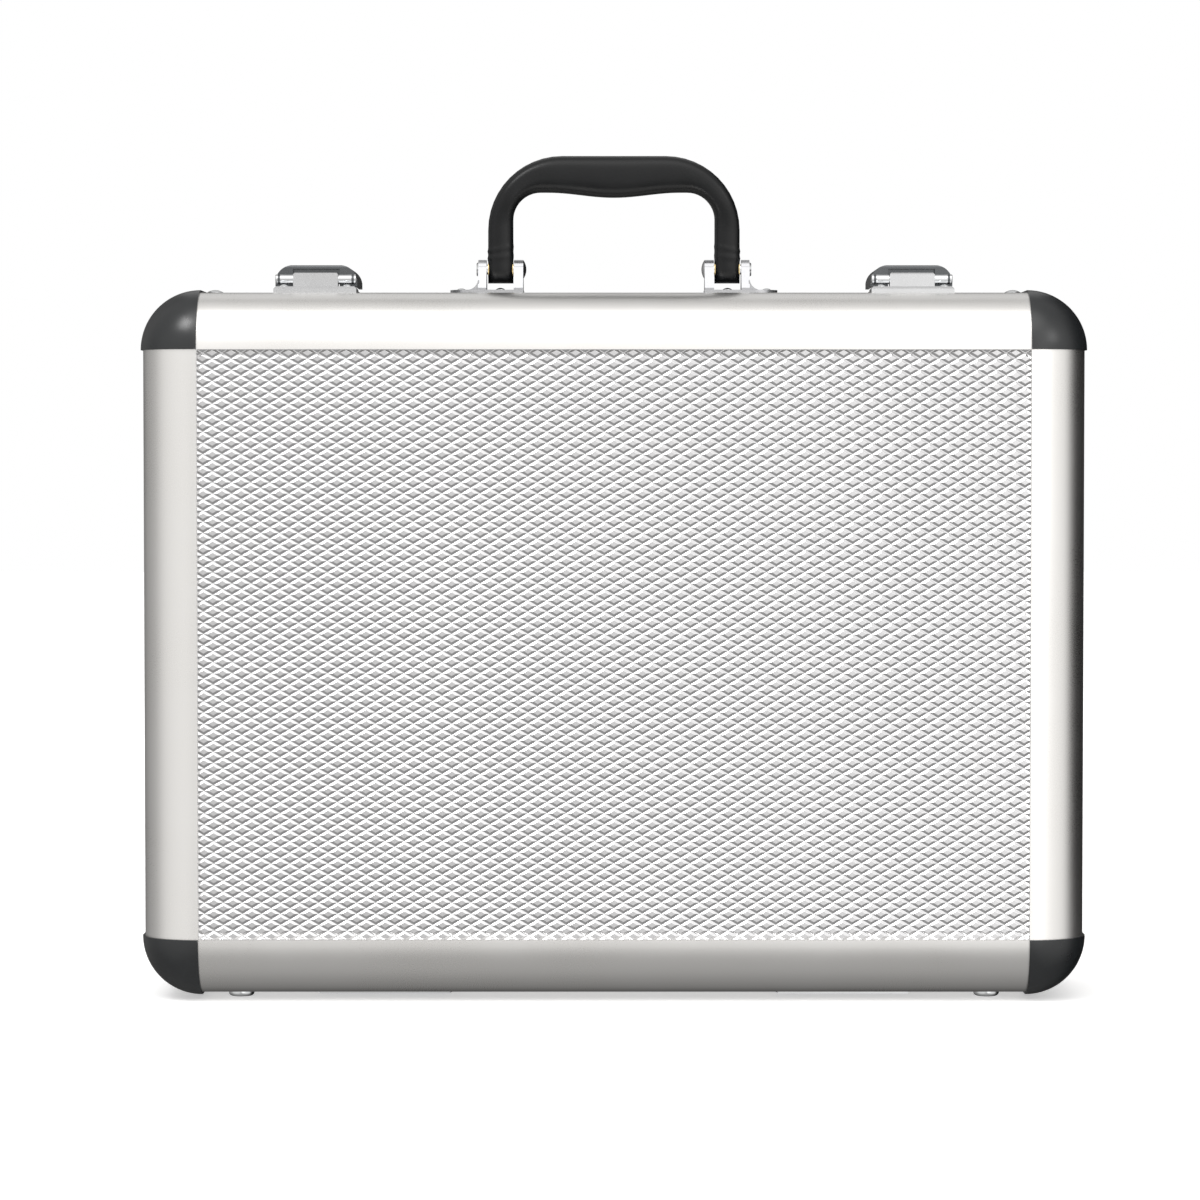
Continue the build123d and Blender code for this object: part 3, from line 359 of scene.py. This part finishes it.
def crate(X, Z):
    p = 0.032
    zc = 0.0
    w = np.cos(2 * math.pi * X / p) * np.cos(2 * math.pi * (Z - zc) / p)
    return 0.0068 * (1 - np.sign(w) * np.abs(w) ** 0.8)


def flat(X, Z):
    return 0.00025 * (1 + np.sin(X * 190) * np.sin(Z * 230))


egg = foam_block("lid_foam", "egg_crate_foam", 1, crate, 0.0028)
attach(egg, "lid"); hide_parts("lid_foam")
pad = foam_block("base_foam_pad", "base_pad", -1, flat, 0.005)
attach(pad, "base"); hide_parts("base_foam_pad")


def cloth_band(node, name):
    """The cloth glued round the inside of a shell: turned-over edges, a seam groove along each, slight waves."""
    lo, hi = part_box(node)
    zc = (lo.z + hi.z) / 2
    hx, hz, rc, thick = hi.x, (hi.z - lo.z) / 2, 0.0259, 0.0012
    path = []
    for cx, cz, a0 in ((hx - rc, hz - rc, 0), (rc - hx, hz - rc, 90), (rc - hx, rc - hz, 180), (hx - rc, rc - hz, 270)):
        for a in np.linspace(a0, a0 + 90, 13):
            c, t = math.cos(math.radians(a)), math.sin(math.radians(a))
            path.append((cx + rc * c, cz + rc * t, c, t))
    fine = []
    for k, (x, z, c, t) in enumerate(path):
        x2, z2, c2, t2 = path[(k + 1) % len(path)]
        steps = max(1, int(math.hypot(x2 - x, z2 - z) / 0.004))
        for u in range(steps):
            f = u / steps
            fine.append((x + (x2 - x) * f, z + (z2 - z) * f, c + (c2 - c) * f, t + (t2 - t) * f))
    w = hi.y - lo.y
    # profile across the band: (depth, thickness left)
    prof = [(0.0, 0.00055), (0.0004, 0.00095), (0.0012, 0.00115), (0.0020, 0.00115), (0.0024, 0.00085), (0.0028, 0.00115),
            (0.0060, 0.00110), (w / 2, 0.00112), (w - 0.0060, 0.00110), (w - 0.0028, 0.00115), (w - 0.0024, 0.00085),
            (w - 0.0020, 0.00115), (w - 0.0012, 0.00115), (w - 0.0004, 0.00095), (w, 0.00055)]
    verts, faces = [], []
    m = len(prof) + 2
    s_ = 0.0
    for k, (x, z, c, t) in enumerate(fine):
        s_ += 0.004
        for j, (d, h) in enumerate(prof):
            wave = 0.00004 * math.sin(s_ * 310 + j) if 5 < j < 9 else 0.0
            verts.append((x - c * (h + wave), lo.y + d, zc + z - t * (h + wave)))
        verts.append((x, hi.y, zc + z))
        verts.append((x, lo.y, zc + z))
    n = len(fine)
    for k in range(n):
        for j in range(m):
            faces.append((k * m + j, k * m + (j + 1) % m, ((k + 1) % n) * m + (j + 1) % m, ((k + 1) % n) * m + j))
    return make_obj(name, verts, faces, MATS["lining_cloth"], smooth=True)


for shell in ("base", "lid"):
    band = cloth_band(shell + "_lining", shell + "_lining_cloth")
    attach(band, shell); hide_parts(shell + "_lining")


# ---------------------------------------------------------- carrying handle
def handle():
    lo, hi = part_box("handle_grip")
    cy = (lo.y + hi.y) / 2
    axis_z = [j for j in frame["joints"] if j["name"] == "handle_hinge"][0]["pos_m"][2]
    top = hi.z
    ox, ix = hi.x, 0.0497
    Ro, Ri = 0.0366, 0.0134
    under = top - 0.018
    stations = []           # (outer x, outer z, inner x, inner z, half depth)

    def depth(z):
        t = min(max((z - (top - 0.040)) / 0.026, 0), 1)
        return 0.0069 + (0.0094 - 0.0069) * t * t * (3 - 2 * t)

    for a in (88, 75, 60, 45, 30, 15, 0):       # rounded leg end about the pivot
        s = math.cos(math.radians(a))
        z = axis_z - 0.0069 * math.sin(math.radians(a))
        stations.append((ox, z, ix, z, 0.0069 * max(s, 0.03)))
    leg_top = top - Ro
    for t in np.linspace(0.06, 1, 22):
        zo = axis_z + (leg_top - axis_z) * t
        zi = axis_z + (under - Ri - axis_z) * t
        band = math.exp(-((zo - (axis_z + 0.0052)) / 0.0011) ** 2) + math.exp(-((zo - (axis_z + 0.0088)) / 0.0009) ** 2)
        stations.append((ox + 0.00035 * band, zo, ix - 0.0002 * band, zi, depth(zo) + 0.0004 * band))
    for a in np.linspace(7.5, 90, 12):
        r = math.radians(a)
        oxx, ozz = ox - Ro + Ro * math.cos(r), top - Ro + Ro * math.sin(r)
        ixx, izz = ix - Ri + Ri * math.cos(r), under - Ri + Ri * math.sin(r)
        stations.append((oxx, ozz, ixx, izz, depth(ozz)))
    x0, x1 = ox - Ro, ix - Ri
    for t in np.linspace(0.08, 1, 13):
        u = 1 - t
        swell = 0.0025 * (0.5 + 0.5 * math.cos(math.pi * min(u / 0.9, 1.0)))
        stations.append((x0 * u, top, x1 * u, under - swell, depth(top)))
    full = stations + [(-a, b, -c, d, e) for a, b, c, d, e in stations[-2::-1]]
    n = 40
    verts, faces = [], []
    for (a, b, c, d, e) in full:
        mx, mz = (a + c) / 2, (b + d) / 2
        hx, hz = (a - c) / 2, (b - d) / 2
        for q in range(n):
            th = 2 * math.pi * q / n
            ct, st = math.cos(th), math.sin(th)
            p = 2 / 2.9
            u = math.copysign(abs(ct) ** p, ct)
            w = math.copysign(abs(st) ** p, st)
            verts.append((mx + hx * u, cy + e * w, mz + hz * u))
    m = len(full)
    for k in range(m - 1):
        for q in range(n):
            faces.append((k * n + q, k * n + (q + 1) % n, (k + 1) * n + (q + 1) % n, (k + 1) * n + q))
    faces.append(tuple(range(n)))
    faces.append(tuple((m - 1) * n + q for q in range(n)))
    return make_obj("handle_bow", verts, faces, MATS["grip_plastic"], smooth=True)


bow = handle()
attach(bow, "handle"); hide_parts("handle_grip")

# ------------------------------------------------------------------ studio
scene = bpy.context.scene
scene.view_settings.view_transform = "Standard"
scene.view_settings.look = "None"

bpy.ops.mesh.primitive_plane_add(size=1, location=(0, 1.0, 0))
floor = bpy.context.object
floor.name = "studio_floor"
floor.scale = (14, 14, 1)
fm, fnt, fb = new_mat("studio_floor", (0.93, 0.93, 0.93), 0.0, 0.9)
fb.inputs["Emission Color"].default_value = (1, 1, 1, 1)
fb.inputs["Emission Strength"].default_value = 0.42
floor.data.materials.append(fm)
floor.visible_glossy = False

world = bpy.data.worlds.new("studio")
scene.world = world
world.use_nodes = True
wn = world.node_tree
wn.nodes.clear()
out = wn.nodes.new("ShaderNodeOutputWorld")
mixs = wn.nodes.new("ShaderNodeMixShader")
lp = wn.nodes.new("ShaderNodeLightPath")
bg_cam = wn.nodes.new("ShaderNodeBackground"); bg_cam.inputs["Color"].default_value = (1, 1, 1, 1)
bg = wn.nodes.new("ShaderNodeBackground")
tc = wn.nodes.new("ShaderNodeTexCoord")


def wdot(vec, bias, lo=0.0, hi=1.0):
    """A soft gradient of brightness across the studio: bias + direction . vec, mapped from lo..hi to 0..1."""
    d = wn.nodes.new("ShaderNodeVectorMath"); d.operation = "DOT_PRODUCT"
    wn.links.new(tc.outputs["Generated"], d.inputs[0])
    d.inputs[1].default_value = vec
    r = wn.nodes.new("ShaderNodeMapRange")
    r.interpolation_type = "LINEAR" if (lo, hi) == (0.0, 1.0) else "SMOOTHSTEP"
    r.clamp = True
    r.inputs["From Min"].default_value = lo - bias
    r.inputs["From Max"].default_value = hi - bias
    wn.links.new(d.outputs["Value"], r.inputs["Value"])
    return r.outputs["Result"]


def wmath(op, a, b):
    n = wn.nodes.new("ShaderNodeMath"); n.operation = op
    for k, v in enumerate((a, b)):
        if isinstance(v, (int, float)):
            n.inputs[k].default_value = v
        else:
            wn.links.new(v, n.inputs[k])
    return n.outputs[0]


def lobe(vec, lo, hi, gain):
    return wmath("MULTIPLY", wdot(vec, 0.0, lo, hi), gain)


# general shape of the room: brighter up and in front, darker behind and below
level = wdot((-0.08, -0.26, 0.36), 0.47)
# soft boxes: a long one under the ceiling, one at each side, a little light from the ground
for part in (lobe((0.0, -0.50, 0.866), 0.86, 0.97, 0.95), lobe((0.80, -0.60, 0.0), 0.55, 0.97, 0.55),
             lobe((-0.75, -0.66, 0.0), 0.60, 0.95, 0.28), lobe((0.0, 0.10, -0.995), 0.50, 1.0, 0.22)):
    level = wmath("ADD", level, part)
# a white wall in front, on the right of the camera and above it
wall = wmath("MULTIPLY", lobe((0.94, 0.0, 0.33), -0.07, 0.10, 0.62), wdot((0.0, -0.90, 0.44), 0.0, 0.55, 0.85))
level = wmath("ADD", level, wall)
# black flags: behind on the right, and behind above
for part in (lobe((0.72, 0.69, 0.05), 0.55, 0.97, -0.92), lobe((0.0, 0.90, 0.43), 0.60, 0.95, -0.50)):
    level = wmath("MULTIPLY", level, wmath("ADD", part, 1.0))
wn.links.new(level, bg.inputs["Strength"])
bg.inputs["Color"].default_value = (1.0, 0.99, 0.975, 1)
wn.links.new(lp.outputs["Is Camera Ray"], mixs.inputs[0])
wn.links.new(bg.outputs[0], mixs.inputs[1])
wn.links.new(bg_cam.outputs[0], mixs.inputs[2])
wn.links.new(mixs.outputs[0], out.inputs["Surface"])


def area(name, loc, target, size, power, size_y=None):
    d = bpy.data.lights.new(name, "AREA")
    d.shape = "RECTANGLE"
    d.size = size
    d.size_y = size_y or size
    d.energy = power
    o = bpy.data.objects.new(name, d)
    o.location = loc
    o.rotation_euler = (Vector(target) - Vector(loc)).to_track_quat("-Z", "Y").to_euler()
    scene.collection.objects.link(o)
    return o


area("key", (-1.34, -1.55, 2.5), (0, 0, 0.25), 1.0, 26)
area("right", (2.3, -1.9, 1.5), (0, 0, 0.2), 0.9, 5)
area("back", (0.0, 2.4, 2.4), (0, 0, 0.2), 2.0, 6)

cam_d = bpy.data.cameras.new("camera")
cam = bpy.data.objects.new("camera", cam_d)
scene.collection.objects.link(cam)
cam_d.sensor_width = 36
cam_d.lens = 4730 / 1200 * 36
cam_d.clip_end = 50
cam.location = (0, -0.0625 - 2.276, 0.2679)
cam.rotation_euler = (math.radians(90 - 2.33), 0, 0)
cam_d.shift_x = -13.9 / 1200
cam_d.shift_y = 42 / 1200
scene.camera = cam
